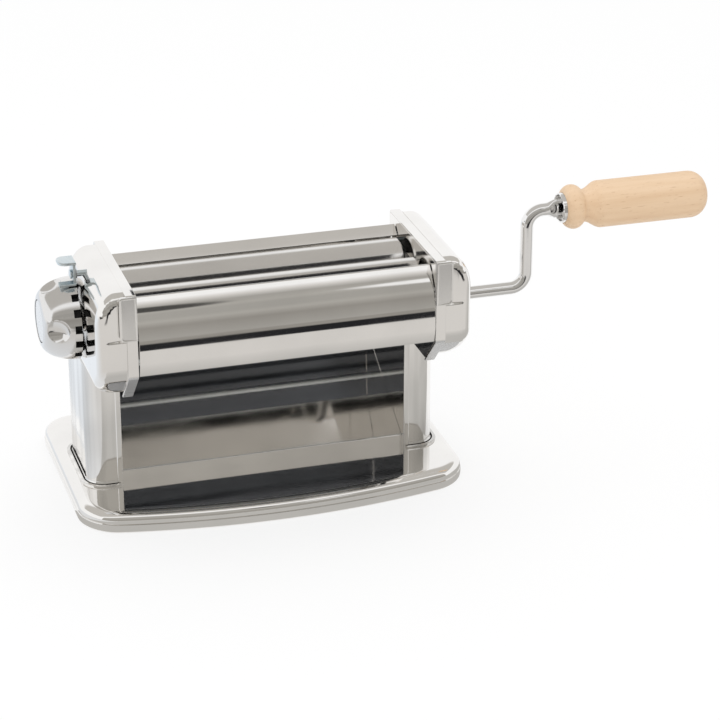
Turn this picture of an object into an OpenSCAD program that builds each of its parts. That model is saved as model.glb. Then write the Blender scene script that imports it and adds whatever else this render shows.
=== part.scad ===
/* [Base] */
// Length of the base plate, across the machine
base_l = 210; // [200:1:220]
// Depth of the base plate, front to back
base_d = 142; // [130:1:160]
// Height of the base plate
base_h = 11; // [10:0.5:16]
// Radius of the base plate's corners
base_corner_r = 18; // [12:1:22]
// Radius of the bowed front edge
base_bow_r = 400; // [300:10:700]
// Width and height of the rounded shoulder above the skirt
shoulder = 3; // [2:0.5:5]
// Width of the hem turned in under the skirt
hem_w = 4; // [3:0.5:8]
// Radius of the hole for the peg of a table clamp
clamp_r = 5; // [3:0.5:8]
// Depth of the collar round the clamp hole
clamp_collar = 5; // [3:0.5:7]
// Distance of the clamp hole behind the middle of the base
clamp_y = 48; // [40:1:52]

/* [Sheet metal] */
// Sheet of the base, the pillars and the caps
sheet = 1.2; // [0.8:0.1:1.6]
// Sheet of the side plates
plate_t = 1.5; // [1.2:0.1:2]
// Sheet of the rails round the head
rail_t = 1.2; // [0.8:0.1:1.6]
// Sheet of the front and rear covers
cover_t = 1; // [0.8:0.1:1.4]
// Sheet of the delivery chute
chute_t = 1; // [0.8:0.1:1.4]

/* [Pillars] */
// Width of a pillar, outside its side plate
pillar_w = 16.5; // [15:0.5:17.5]
// Depth of a pillar, front to back
pillar_d = 56; // [52:1:60]
// Middle of the pillars, front to back
pillar_y = 2; // [0:0.5:6]
// Radius of a pillar's outer corners
pillar_corner_r = 10; // [6:0.5:12]
// Width of the flange round a pillar's foot
foot_w = 3; // [2:0.5:5]
// Slope of the delivery chute
chute_deg = 29; // [25:0.5:32]
// Height of the chute's lip above the base
chute_lip = 6; // [4:0.5:8]
// Distance of the chute's lip behind the front of the pillars
chute_set = 3; // [2:0.5:6]
// Drop of the sloping rear top of a pillar
pillar_drop = 16; // [10:1:24]

/* [Head] */
// Height of the roller axes above the table
axis_z = 118.5; // [117:0.5:120]
// Middle of the head, where the rollers meet
nip_y = -39; // [-42:0.5:-36]
// Half the depth of the head
head_half_d = 39; // [37:0.5:42]
// Height of the side plates
head_top = 138; // [134:0.5:142]
// Height of the undersides of the caps and the side plates
head_low = 79.5; // [78:0.5:82]
// Width of a cap
cap_w = 15; // [14:0.5:18]
// Width of a cap's rounded outer edges
cap_round = 11; // [8:0.5:13]
// Height of a cap's rounded upper outer edge
cap_crown = 17; // [12:0.5:20]
// Radius of a cap's corners, seen from the side
cap_corner_r = 5; // [3:0.5:8]
// Width of the rails round the head
rail_w = 5.5; // [4.5:0.5:6.5]
// Slanted corner at the lower front of the head
hook_cut = 16; // [13:0.5:18]
// Width of the tab that laps over the left cap
tab_w = 3.5; // [2:0.5:5]
// Height of that tab
tab_h = 24; // [16:1:30]
// Half the width of the feed opening between the covers
feed_half = 30; // [28:0.5:31]
// Height of the covers' upper edges
cover_top = 135; // [132:0.5:137]
// Height of the covers' lower edges
cover_low = 95; // [92:0.5:97]
// Radius of the covers' curve
cover_r = 40; // [34:1:60]
// Drop of the folded lips that lead from the covers to the rollers
lip_drop = 5; // [3:0.5:6]

/* [Rollers] */
// Length of the rollers, the width of the pasta sheet
roller_l = 150; // [140:1:160]
// Gap between the rollers' ends and the side plates
end_gap = 2.5; // [1.5:0.5:4]
// Radius of the rollers
roller_r = 13.5; // [13:0.1:14]
// Gap between the rollers at the widest setting
gap_open = 2; // [1.6:0.1:2.6]
// Gap between the rollers at the finest setting
gap_fine = 0.2; // [0.1:0.05:0.5]
// Radius of the rollers' journals
journal_r = 5; // [4:0.25:5.5]
// Distance of the tie rod and the bar behind the scrapers below the axes
scraper_drop = 19; // [18:0.25:20]
// Distance of the front tie rod and the bar outside the axes
scraper_out = 11; // [10:0.5:12]
// Thickness of the scraper blades
blade_t = 1; // [0.6:0.1:1.2]

/* [Gears] */
// Teeth on each of the rollers' gears
gear_teeth = 12; // [10:2:14]
// Width of the rollers' gears
gear_w = 5; // [4:0.5:5]
// Height of their teeth above the pitch circle
gear_tip = 1.8; // [1.4:0.1:2]
// Thickness of their teeth at the pitch circle
tooth_t = 2.4; // [2:0.1:2.6]
// Teeth on the wheel that the crank's pinion drives
wheel_teeth = 24; // [20:4:24]
// Teeth on the pinion
pinion_teeth = 16; // [14:2:16]
// Width of the wheel and the pinion
wheel_w = 3; // [2.5:0.25:3.5]
// Height of their teeth above the pitch circle
wheel_tip = 0.9; // [0.7:0.1:1]
// Depth of their teeth below the pitch circle
wheel_root = 1.25; // [1.1:0.05:1.5]
// Thickness of their teeth at the pitch circle
wheel_tooth_t = 1.25; // [1:0.05:1.3]
// Distance of the crank's axis below the rollers' axes
input_drop = 15.5; // [15:0.25:17]
// Radius of the pinion's shaft
input_r = 3; // [2.5:0.1:3]

/* [Knob and pawl] */
// Radius of the knob's rim
knob_r = 21.5; // [19:0.5:22]
// Distance of the knob's axis behind the middle of the head
knob_back = 12; // [9:0.5:13]
// Distance of the knob's axis below the rollers' axes
knob_drop = 9; // [8:0.5:11]
// Depth of the knob
knob_d = 19; // [16:0.5:20]
// Radius of the disc in the end of the knob
disc_r = 11; // [9:0.5:12]
// Wall of the knob
knob_wall = 2; // [1.5:0.25:3]
// Settings of the knob
settings = 6; // [4:1:7]
// Turn of the knob from one setting to the next
step_deg = 22.5; // [18:0.5:24]
// Width and depth of the notches in the rim
notch = 4; // [3:0.25:5]
// Direction of the first finger scoop round the knob
scoop_deg = 88; // [60:1:100]
// Radius of the finger scoops
scoop_r = 9; // [7:0.5:10]
// Direction of the pawl round the knob
pawl_deg = 108; // [104:1:114]
// Distance of the pawl's pin before the knob's axis
pin_before = 4; // [3:0.5:6]
// Distance of the pawl's pin outside the knob's rim
pin_above = 4; // [3.5:0.25:6]
// Height of the thumb tab above the pin
thumb_up = 8; // [6:0.5:10]
// Length of the pawl's nose
nose_l = 9; // [6:0.5:10]
// Thickness of the pawl
pawl_t = 1.5; // [1:0.1:1.5]
// Length of the pawl's thumb tab
thumb_l = 8; // [7:0.5:14]
// Width of the thumb tab
thumb_w = 11; // [7:0.5:12]

/* [Crank] */
// Radius of the crank bar
crank_r = 3.5; // [3:0.25:4.5]
// Side of the square end of the crank
square_a = 5; // [4:0.25:5.25]
// Distance of the crank's arm from the middle of the machine
arm_x = 140; // [125:0.5:145]
// Length of the crank's arm
arm_l = 42.5; // [30:0.5:60]
// Radius of the crank's bends
bend_r = 8.5; // [7:0.5:11]
// Distance of the grip beyond the crank's arm
handle_l = 19; // [17:0.5:24]
// Length of the grip
grip_l = 82; // [70:1:100]
// Largest radius of the grip
grip_r = 12.5; // [11:0.5:14]
// Radius of the neck of the grip
neck_r = 8.7; // [7:0.1:9.5]
// Radius of the ferrule in the end of the grip
ferrule_r = 8; // [6.5:0.25:8.5]
// Radius of the spindle in the grip
spindle_r = 2.5; // [2:0.25:3]

/* [Fits] */
// Running clearance of shafts in their bores
run_fit = 0.05; // [0.03:0.01:0.08]
// Clearance between pieces that pass each other
pass_gap = 0.3; // [0.2:0.05:0.4]
// Radius of the tie rods
tie_r = 3; // [2.5:0.25:3]
// Radius of the screws
screw_r = 1.6; // [1.25:0.05:2]
// Thickness of the nuts and of the screw heads
nut_h = 2.4; // [1.6:0.1:2.8]

/* [Hidden] */
$fn = 64;
over = 1;

// Places across the machine, from the middle outwards
plate_x = roller_l / 2 + end_gap;
plate_out = plate_x + plate_t;
cap_in = plate_x + rail_w;
cap_out = cap_in + cap_w;
pillar_out = plate_out + pillar_w;
block_in = plate_out + pass_gap;
block_t = 5;
block_out = block_in + block_t;
gear_x = block_out + 2 * pass_gap;
wheel_x = gear_x + gear_w + 2 * pass_gap;
wheel_out = wheel_x + wheel_w;
socket_in = wheel_x;
socket_l = 3;
shaft_out = cap_out + socket_l;

// Places front to back
front_edge = nip_y - head_half_d;
rear_edge = nip_y + head_half_d;
pitch_r = roller_r + gap_open / 2;
front_y = nip_y - pitch_r;
rear_y = nip_y + pitch_r;
travel = gap_open - gap_fine;
knob_y = nip_y + knob_back;
pillar_front = pillar_y - pillar_d / 2;
pillar_back = pillar_y + pillar_d / 2;
input_y = nip_y;

// Heights
rod_z = axis_z - scraper_drop;
knob_z = axis_z - knob_drop;
input_z = axis_z - input_drop;
cap_top = head_top + rail_t;
pillar_slope_z = head_low - pillar_drop;

// Knob, its cam and the pawl
knob_gap = 1;
knob_in = cap_out + knob_gap;
knob_out = knob_in + knob_d;
turn_deg = (settings - 1) * step_deg;
cam_e = travel / 2 / sin(turn_deg / 2);
cam_wall = 2;
cam_r = journal_r + cam_wall;
cam_in = block_out + pass_gap;
cam_l = 3.8;
bush_wall = 3;
bush_r = journal_r + bush_wall;
bush_lip = 0.5;
flange_w = 2;
input_wall = 2;
input_bush_r = input_r + input_wall;
socket_wall = 1.5;
socket_r = journal_r + socket_wall;
nose_r = knob_r + pass_gap;
disc_t = 1.5;
pin_y = knob_y - pin_before;
pin_z = knob_z + knob_r + pin_above;
pawl_gap = 1.1;
pawl_in = cap_out + pawl_gap;

// Crank
handle_z = input_z + arm_l;
grip_x = arm_x + handle_l;
grip_end = grip_x + grip_l;

// Screws that hold the pillars and the caps
pillar_screw_x = (plate_out + pillar_out) / 2;
pillar_screw_ys = [pillar_y - pillar_d / 4, pillar_y + pillar_d / 4];
head_r = screw_r * 2;

// Tie rods: one under the front roller and one behind the rear roller, and a thin stay low at the back
front_rod = [front_y - scraper_out, rod_z];
rod_set = 0.5;
rear_rod = [rear_edge - head_r - rod_set, rod_z];
rods = [front_rod, rear_rod];
stay_in = 13;
stay_drop = 3.5;
stay = [pillar_back - stay_in, pillar_slope_z - stay_drop];
bar = [rear_y + scraper_out, rod_z];

// Unit vector, rounded corner and outline with rounded corners
function unit(v) = v / norm(v);
function corner(a, b, c, r, n = 8) =
    let (u = unit(a - b), v = unit(c - b), h = acos(u * v) / 2)
    let (m = b + unit(u + v) * r / sin(h), s = b + u * r / tan(h) - m, e = b + v * r / tan(h) - m)
    let (a0 = atan2(s.y, s.x), d0 = atan2(e.y, e.x) - a0)
    let (d = d0 > 180 ? d0 - 360 : d0 < -180 ? d0 + 360 : d0)
    [for (i = [0:n]) m + r * [cos(a0 + d * i / n), sin(a0 + d * i / n)]];
function flat(p) = [p.x, p.y];
function rounded(p) = [for (i = [0:len(p) - 1])
    let (a = flat(p[(i + len(p) - 1) % len(p)]), b = flat(p[i]), c = flat(p[(i + 1) % len(p)]))
    each p[i][2] > 0 ? corner(a, b, c, p[i][2]) : [b]];
function polar(r, a) = r * [cos(a), sin(a)];
function arc(c, r, a0, a1, n) = [for (i = [0:n]) c + polar(r, a0 + (a1 - a0) * i / n)];
function mirrored(pts) = [for (i = [len(pts) - 1:-1:0]) [2 * nip_y - pts[i].x, pts[i].y]];

// Shape given by Y and Z, drawn out across the machine
module across(x0, x1, pts) {
    translate([x0, 0, 0]) rotate([90, 0, 90]) linear_extrude(x1 - x0) polygon(pts);
}

// Shape given by X and Z, drawn out front to back
module along(y0, y1, pts) {
    translate([0, y1, 0]) rotate([90, 0, 0]) linear_extrude(y1 - y0) polygon(pts);
}

// Round bar across the machine
module bar_x(x0, x1, r, y, z) {
    translate([x0, y, z]) rotate([0, 90, 0]) cylinder(h = x1 - x0, r = r);
}

// Square bar across the machine
module square_x(x0, x1, a, y, z) {
    translate([x0, y - a / 2, z - a / 2]) cube([x1 - x0, a, a]);
}

// Hexagon nut across the machine
module nut_x(x0, y, z) {
    translate([x0, y, z]) rotate([0, 90, 0]) cylinder(h = nut_h, r = screw_r * 2, $fn = 6);
}

// What is drawn for the right side goes to the left one
module on_left() {
    mirror([1, 0, 0]) children();
}

module both_sides() {
    children();
    on_left() children();
}

// Base plate: a bowed outline, a rounded shoulder and a hem
function base_pts(i) =
    let (r = base_corner_r - i, hx = base_l / 2 - base_corner_r, hy = base_d / 2)
    let (s = hx / (base_bow_r - base_corner_r), a = asin(s))
    let (fy = -hy + base_bow_r - (base_bow_r - base_corner_r) * cos(a), by = hy - base_corner_r)
    let (middle = [0, -hy + base_bow_r])
    concat(arc([-hx, fy], r, 180, 270 - a, 6), arc(middle, base_bow_r - i, 270 - a, 270 + a, 18),
        arc([hx, fy], r, 270 + a, 360, 6), arc([hx, by], r, 0, 90, 8), arc([-hx, by], r, 90, 180, 8));
shoulder_steps = 6;
function shoulder_in(k) = shoulder * (1 - cos(90 * k / shoulder_steps));
function shoulder_up(k) = base_h - shoulder + shoulder * sin(90 * k / shoulder_steps);

module base() {
    color("silver") difference() {
        union() {
            linear_extrude(base_h - shoulder) polygon(base_pts(0));
            for (k = [1:shoulder_steps]) {
                linear_extrude(shoulder_up(k)) polygon(base_pts(shoulder_in(k - 0.5)));
            }
            translate([0, clamp_y, base_h - clamp_collar]) cylinder(h = clamp_collar, r = clamp_r + sheet);
        }
        translate([0, 0, -over]) linear_extrude(sheet + 2 * over) polygon(base_pts(hem_w));
        difference() {
            union() {
                translate([0, 0, sheet]) linear_extrude(base_h - shoulder - sheet) polygon(base_pts(sheet));
                translate([0, 0, sheet]) linear_extrude(base_h - 2 * sheet)
                    polygon(base_pts(shoulder + sheet));
            }
            translate([0, clamp_y, base_h - clamp_collar]) cylinder(h = clamp_collar, r = clamp_r + sheet);
        }
        translate([0, clamp_y, -over]) cylinder(h = base_h + 2 * over, r = clamp_r);
        for (s = [-1, 1], y = pillar_screw_ys) {
            translate([s * pillar_screw_x, y, 0]) cylinder(h = base_h + over, r = screw_r);
        }
    }
}

// Pillars: channels with round outer corners, a flanged foot and a sloping rear top
function pillar_pts(i) = rounded([[plate_out, pillar_front + i, 0],
    [pillar_out - i, pillar_front + i, pillar_corner_r - i],
    [pillar_out - i, pillar_back - i, pillar_corner_r - i],
    [plate_out, pillar_back - i, 0]]);
function pillar_side(top) = [[pillar_front - 2 * foot_w, 0], [pillar_back + 2 * foot_w, 0],
    [pillar_back + 2 * foot_w, pillar_slope_z - top], [pillar_back, pillar_slope_z - top],
    [rear_edge, head_low - top], [pillar_front - 2 * foot_w, head_low - top]];

module pillar() {
    difference() {
        union() {
            intersection() {
                translate([0, 0, base_h]) linear_extrude(head_low) polygon(pillar_pts(0));
                across(0, pillar_out + over, pillar_side(0));
            }
            translate([0, 0, base_h]) linear_extrude(sheet) polygon(pillar_pts(-foot_w));
        }
        intersection() {
            translate([-over, 0, base_h + sheet]) linear_extrude(head_low) polygon(pillar_pts(sheet));
            translate([0, 0, base_h + sheet]) linear_extrude(head_low) polygon(pillar_pts(sheet));
            across(0, pillar_out + over, pillar_side(sheet));
        }
        for (y = pillar_screw_ys) {
            translate([pillar_screw_x, y, base_h - over]) cylinder(h = 2 * over + sheet, r = screw_r);
        }
    }
}

module left_pillar() {
    color("silver") on_left() pillar();
}

module right_pillar() {
    color("silver") pillar();
}

module pillar_screws() {
    color("gray") for (s = [-1, 1], y = pillar_screw_ys) {
        translate([s * pillar_screw_x, y, base_h - sheet - nut_h]) {
            cylinder(h = nut_h, r = head_r);
            cylinder(h = 2 * sheet + 2 * nut_h + over, r = screw_r);
        }
    }
}

module pillar_nuts() {
    color("gray") for (s = [-1, 1], y = pillar_screw_ys) {
        translate([s * pillar_screw_x, y, base_h + sheet]) difference() {
            cylinder(h = nut_h, r = head_r, $fn = 6);
            translate([0, 0, -over]) cylinder(h = nut_h + 2 * over, r = screw_r);
        }
    }
}

// Side plates: head and leg in one sheet
plate_pts = [[pillar_front, base_h], [pillar_back, base_h], [pillar_back, pillar_slope_z],
    [rear_edge, head_low], [rear_edge, head_top], [front_edge, head_top], [front_edge, head_low + hook_cut],
    [front_edge + hook_cut, head_low], [pillar_front, head_low]];
tongue_h = journal_r + 2;
tongue_w = journal_r + 3;

module plate() {
    difference() {
        across(plate_x, plate_out, plate_pts);
        bar_x(plate_x - over, plate_out + over, bush_r, front_y, axis_z);
        translate([plate_x - over, rear_y - tongue_w - travel - pass_gap, axis_z - tongue_h - run_fit])
            cube([plate_t + 2 * over, 2 * (tongue_w + pass_gap) + travel, 2 * (tongue_h + run_fit)]);
        translate([plate_x - over, bar.x - tie_r - travel - pass_gap, bar.y - tie_r - pass_gap])
            cube([plate_t + 2 * over, 2 * (tie_r + pass_gap) + travel, 2 * (tie_r + pass_gap)]);
        for (p = [each rods, stay]) bar_x(plate_x - over, plate_out + over, screw_r, p.x, p.y);
    }
}

module left_plate() {
    color("silver") on_left() plate();
}

module right_plate() {
    color("silver") difference() {
        plate();
        bar_x(plate_x - over, plate_out + over, input_bush_r, input_y, input_z);
    }
}

// Rails: strips folded round the head, with a slanted hook at the lower front
hook = [front_edge + hook_cut, head_low];
slant = unit([hook_cut, -hook_cut]);
hook_over = 2;
rail_pts = [[rear_edge, head_low + cap_round], [rear_edge + rail_t, head_low + cap_round],
    [rear_edge + rail_t, cap_top],
    [front_edge - rail_t, cap_top], [front_edge - rail_t, head_low + hook_cut - rail_t / 2],
    hook + slant * hook_over + [-rail_t, -rail_t] / sqrt(2), hook + slant * hook_over, hook,
    [front_edge, head_low + hook_cut],
    [front_edge, head_top], [rear_edge, head_top]];

module rail() {
    across(plate_x, cap_in, rail_pts);
}

// The left one's tab starts inside the rail
tab_in = (plate_x + cap_in) / 2;

module left_rail() {
    color("silver") on_left() {
        rail();
        along(front_edge - rail_t, front_edge, rounded([[tab_in, cap_top, 0], [tab_in, cap_top - tab_h, 0],
            [cap_in + tab_w, cap_top - tab_h, tab_w - over], [cap_in + tab_w, cap_top, 0]]));
    }
}

module right_rail() {
    color("silver") rail();
}

// Caps: rounded shells over the ends of the head
function oval(c, rx, rz, a0, n = 10) = [for (i = [0:n])
    let (a = a0 + 90 * i / n) c + [rx * cos(a), rz * sin(a)]];
function cap_front_pts(i) = concat([[cap_in - (i > 0 ? over : 0), head_low + i]],
    oval([cap_out - cap_round, head_low + cap_round], cap_round - i, cap_round - i, -90),
    oval([cap_out - cap_round, cap_top - cap_crown], cap_round - i, cap_crown - i, 0),
    [[cap_in - (i > 0 ? over : 0), cap_top - i]]);
function cap_side_pts(i) = rounded([[front_edge + i, head_low + hook_cut + i / 2, cap_corner_r],
    [front_edge + hook_cut + i / 2, head_low + i, cap_corner_r],
    [rear_edge - i, head_low + i, cap_round - i], [rear_edge - i, cap_top - i, cap_corner_r - i],
    [front_edge + i, cap_top - i, cap_corner_r - i]]);

module cap_form(i) {
    intersection() {
        along(front_edge + i, rear_edge - i, cap_front_pts(i));
        across(cap_in - 2 * over, cap_out - i, cap_side_pts(i));
    }
}

module cap_shell() {
    difference() {
        cap_form(0);
        cap_form(sheet);
        bar_x(cap_in, cap_out + over, screw_r, rear_rod.x, rear_rod.y);
    }
}

module left_cap() {
    color("silver") on_left() difference() {
        cap_shell();
        bar_x(cap_in, cap_out + over, bush_r, knob_y, knob_z);
        bar_x(cap_in, cap_out + over, screw_r, pin_y, pin_z);
    }
}

module right_cap() {
    color("silver") difference() {
        cap_shell();
        bar_x(cap_in, cap_out + over, socket_r + 2 * pass_gap, input_y, input_z);
    }
}

module cap_screws() {
    color("gray") both_sides() {
        bar_x(plate_out + nut_h, cap_out, screw_r, rear_rod.x, rear_rod.y);
        bar_x(cap_out, cap_out + nut_h, head_r, rear_rod.x, rear_rod.y);
    }
}

// Covers: curved sheets before and behind the rollers
cover_a = [nip_y - feed_half, cover_top];
cover_b = [front_edge, cover_low];
cover_chord = cover_b - cover_a;
cover_half = norm(cover_chord) / 2;
cover_mid = (cover_a + cover_b) / 2;
cover_in = unit([-cover_chord.y, cover_chord.x]);
cover_c = cover_mid + cover_in * sqrt(cover_r * cover_r - cover_half * cover_half);
cover_a0 = atan2(cover_a.y - cover_c.y, cover_a.x - cover_c.x);
cover_sweep = 2 * asin(cover_half / cover_r);
front_cover_pts = concat(arc(cover_c, cover_r, cover_a0, cover_a0 + cover_sweep, 16),
    arc(cover_c, cover_r - cover_t, cover_a0 + cover_sweep, cover_a0, 16));

lip_root = cover_c + polar(cover_r - cover_t / 2, cover_a0);
lip_end = lip_root + [lip_drop, -lip_drop];
lip_half = [cover_t, cover_t] / sqrt(8);
lip_pts = [lip_root + lip_half, lip_root - lip_half, lip_end - lip_half, lip_end + lip_half];

module front_cover() {
    color("silver") for (pts = [front_cover_pts, lip_pts]) across(-plate_x, plate_x, pts);
}

module rear_cover() {
    color("silver") for (pts = [front_cover_pts, lip_pts]) across(-plate_x, plate_x, mirrored(pts));
}

// Tie rods with threaded ends, and their nuts
module tie_rods() {
    color("lightsteelblue") {
        for (p = rods) bar_x(-plate_x, plate_x, tie_r, p.x, p.y);
        for (p = [each rods, stay]) bar_x(-plate_out - nut_h, plate_out + nut_h, screw_r, p.x, p.y);
    }
}

module tie_nuts() {
    color("gray") both_sides() for (p = [each rods, stay]) {
        difference() {
            nut_x(plate_out, p.x, p.y);
            bar_x(plate_out - over, plate_out + nut_h + over, screw_r, p.x, p.y);
        }
    }
}

// Delivery chute with a folded lip on the base, and the back that closes the machine up to the cover
chute_foot = [pillar_front + chute_set, base_h + chute_lip];
chute_top = [pillar_back, chute_foot.y + (pillar_back - chute_foot.x) * tan(chute_deg)];
back_rise = (head_low - pillar_slope_z) / (pillar_back - rear_edge);
back_fold = [-chute_t, chute_t * back_rise - chute_t * sqrt(1 + back_rise * back_rise)];
chute_pts = [chute_foot, [chute_foot.x, base_h], [chute_foot.x + chute_t, base_h],
    [chute_foot.x + chute_t, chute_foot.y - chute_t], chute_top + [0, -chute_t] / cos(chute_deg),
    [pillar_back, pillar_slope_z], [rear_edge, head_low], [rear_edge, cover_low],
    [rear_edge - chute_t, cover_low], [rear_edge, head_low] + back_fold,
    [pillar_back, pillar_slope_z] + back_fold, chute_top + [-chute_t, -chute_t * tan(chute_deg)]];

// Level guard over the chute, joined to the sloping back
guard_z = head_low - chute_set - 2 * chute_t;
guard_front = pillar_front + 3 * chute_set;
function back_y(z) = rear_edge + (head_low - chute_t / 2 - z) / back_rise;
guard_pts = [[guard_front, guard_z], [back_y(guard_z), guard_z],
    [back_y(guard_z + chute_t), guard_z + chute_t], [guard_front, guard_z + chute_t]];

module chute() {
    color("silver") for (pts = [chute_pts, guard_pts]) across(-plate_x, plate_x, pts);
}

// Bushes that carry the front roller
module front_bushes() {
    color("darkgoldenrod") both_sides() difference() {
        union() {
            bar_x(plate_x - bush_lip, block_out, bush_r, front_y, axis_z);
            bar_x(plate_out, plate_out + plate_t, bush_r + flange_w, front_y, axis_z);
        }
        bar_x(plate_x - over, block_out + over, journal_r + run_fit, front_y, axis_z);
    }
}

// Bush that carries the pinion's shaft
module input_bush() {
    color("darkgoldenrod") difference() {
        union() {
            bar_x(plate_x - bush_lip, block_out, input_bush_r, input_y, input_z);
            bar_x(plate_out, plate_out + plate_t, input_bush_r + flange_w / 2, input_y, input_z);
        }
        bar_x(plate_x - over, block_out + over, input_r + run_fit, input_y, input_z);
    }
}

// Scraper blades: a foot on a rod and a lip at the roller
tip_deg = 250;
tip = [front_y, axis_z] + (roller_r + pass_gap) * [cos(tip_deg), sin(tip_deg)];
blade_z = rod_z + tie_r;
blade_pts = [[front_rod.x - tie_r, blade_z], [front_rod.x + tie_r, blade_z], tip + [0, -blade_t], tip,
    [front_rod.x + tie_r - blade_t / 2, blade_z + blade_t], [front_rod.x - tie_r, blade_z + blade_t]];

module front_scraper() {
    color("dimgray") across(-roller_l / 2 + over, roller_l / 2 - over, blade_pts);
}

module rear_scraper() {
    color("dimgray") across(-roller_l / 2 + over, roller_l / 2 - over, mirrored(blade_pts));
}

// Rollers with their journals
module front_roller() {
    color("gainsboro") {
        bar_x(-roller_l / 2, roller_l / 2, roller_r, front_y, axis_z);
        bar_x(-block_out, wheel_out, journal_r, front_y, axis_z);
    }
}

module rear_roller() {
    color("gainsboro") {
        bar_x(-roller_l / 2, roller_l / 2, roller_r, rear_y, axis_z);
        bar_x(-block_out, gear_x + gear_w, journal_r, rear_y, axis_z);
    }
}

// Toothed wheel: its teeth lean in from the root to the tip
lean = tan(12);
function tooth_pts(pitch, root, tip, thick) = [
    [0, -thick / 2], [root - over, -thick / 2 - (pitch - root) * lean],
    [tip, -thick / 2 + (tip - pitch) * lean], [tip, thick / 2 - (tip - pitch) * lean],
    [root - over, thick / 2 + (pitch - root) * lean], [0, thick / 2]];

module toothed(x0, w, y, z, teeth, turn, size) {
    translate([x0, y, z]) rotate([90, 0, 90]) linear_extrude(w) union() {
        circle(size[1]);
        for (i = [0:teeth - 1]) {
            rotate(turn + i * 360 / teeth) polygon(tooth_pts(size[0], size[1], size[2], size[3]));
        }
    }
}

// The rollers' gears have long teeth, which stay in mesh as the rollers close
root_r = pitch_r - gear_tip - travel - 2 * pass_gap;
gear_size = [pitch_r, root_r, pitch_r + gear_tip, tooth_t];

module drive_gear() {
    color("slategray") difference() {
        toothed(gear_x, gear_w, front_y, axis_z, gear_teeth, 0, gear_size);
        bar_x(gear_x - over, wheel_out, journal_r, front_y, axis_z);
    }
}

module rear_gear() {
    color("slategray") difference() {
        toothed(gear_x, gear_w, rear_y, axis_z, gear_teeth, 180 / gear_teeth, gear_size);
        bar_x(gear_x - over, wheel_out, journal_r, rear_y, axis_z);
    }
}

// The crank's pinion and the wheel on the front roller, in mesh on the line between their axes
mesh = [input_y - front_y, input_z - axis_z];
mesh_deg = atan2(mesh.y, mesh.x);
wheel_pitch = norm(mesh) * wheel_teeth / (wheel_teeth + pinion_teeth);
pinion_pitch = norm(mesh) - wheel_pitch;
wheel_size = [wheel_pitch, wheel_pitch - wheel_root, wheel_pitch + wheel_tip, wheel_tooth_t];
pinion_size = [pinion_pitch, pinion_pitch - wheel_root, pinion_pitch + wheel_tip, wheel_tooth_t];

module reduction_gear() {
    color("slategray") difference() {
        toothed(wheel_x, wheel_w, front_y, axis_z, wheel_teeth, mesh_deg + 180 / wheel_teeth, wheel_size);
        bar_x(wheel_x - over, wheel_out + over, journal_r, front_y, axis_z);
    }
}

clip_w = 1.5;
clip_in = plate_x - pass_gap - clip_w - bush_lip;
module input_pinion() {
    color("slategray") difference() {
        union() {
            bar_x(clip_in, wheel_x, input_r, input_y, input_z);
            toothed(wheel_x, wheel_w, input_y, input_z, pinion_teeth, mesh_deg + 180, pinion_size);
            bar_x(wheel_out, shaft_out, journal_r, input_y, input_z);
        }
        square_x(socket_in, shaft_out + over, square_a + 4 * run_fit, input_y, input_z);
    }
}

module input_clip() {
    color("gray") difference() {
        bar_x(clip_in, clip_in + clip_w, input_bush_r, input_y, input_z);
        bar_x(clip_in - over, clip_in + clip_w + over, input_r, input_y, input_z);
    }
}

module drive_socket() {
    color("silver") difference() {
        bar_x(wheel_out + over, shaft_out, socket_r, input_y, input_z);
        bar_x(wheel_out, shaft_out + over, journal_r, input_y, input_z);
    }
}

// Sliding blocks that carry the rear roller
arm_w = 5;
block_h = 10;
block_w = tongue_w + 1;
block_pts = [[rear_y - block_w, axis_z - block_h], [bar.x - arm_w, axis_z - block_h],
    [bar.x - arm_w, bar.y - arm_w], [bar.x + arm_w, bar.y - arm_w],
    [bar.x + arm_w, axis_z - block_h], [rear_y + block_w, axis_z - block_h],
    [rear_y + block_w, axis_z + block_h], [rear_y - block_w, axis_z + block_h]];

module block() {
    difference() {
        union() {
            across(block_in, block_out, block_pts);
            translate([plate_x, rear_y - tongue_w, axis_z - tongue_h])
                cube([block_in - plate_x, 2 * tongue_w, 2 * tongue_h]);
        }
        bar_x(plate_x - over, block_out + over, journal_r + run_fit, rear_y, axis_z);
        bar_x(block_in - over, block_out + over, tie_r, bar.x, bar.y);
    }
}

// The left block has a fork in which the knob's cam turns
prong = 3;
fork_half = cam_r + 2 * run_fit;
fork_y = knob_y + travel / 2;
fork_low = knob_z - cam_r - cam_e - 1;

module left_block() {
    color("darkgray") on_left() {
        block();
        translate([block_in, fork_y - fork_half - prong, fork_low])
            cube([block_out - block_in, 2 * (fork_half + prong), axis_z - fork_low - journal_r - prong]);
        for (y = [fork_y - fork_half - prong, fork_y + fork_half]) {
            translate([block_out, y, fork_low])
                cube([cam_l + 2 * pass_gap, prong, 2 * (knob_z - fork_low)]);
        }
    }
}

module right_block() {
    color("darkgray") block();
}

module carriage_bar() {
    color("lightsteelblue") bar_x(-block_out, block_out, tie_r, bar.x, bar.y);
}

// Knob: bush in the cap, shaft with its cam, notched shell and end disc
knob_bush_l = 5;
knob_floor = knob_out - 3;
module knob_bush() {
    color("darkgoldenrod") on_left() difference() {
        union() {
            bar_x(cap_out - knob_bush_l, cap_out, bush_r, knob_y, knob_z);
            bar_x(cap_out - sheet - plate_t, cap_out - sheet, bush_r + flange_w, knob_y, knob_z);
        }
        bar_x(cap_in, cap_out + over, journal_r + run_fit, knob_y, knob_z);
    }
}

module knob_shaft() {
    color("silver") on_left() {
        bar_x(cam_in + cam_l, knob_floor, journal_r, knob_y, knob_z);
        bar_x(cam_in, cam_in + cam_l, cam_r, knob_y + travel / 2, knob_z - cam_e * cos(turn_deg / 2));
    }
}

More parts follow.
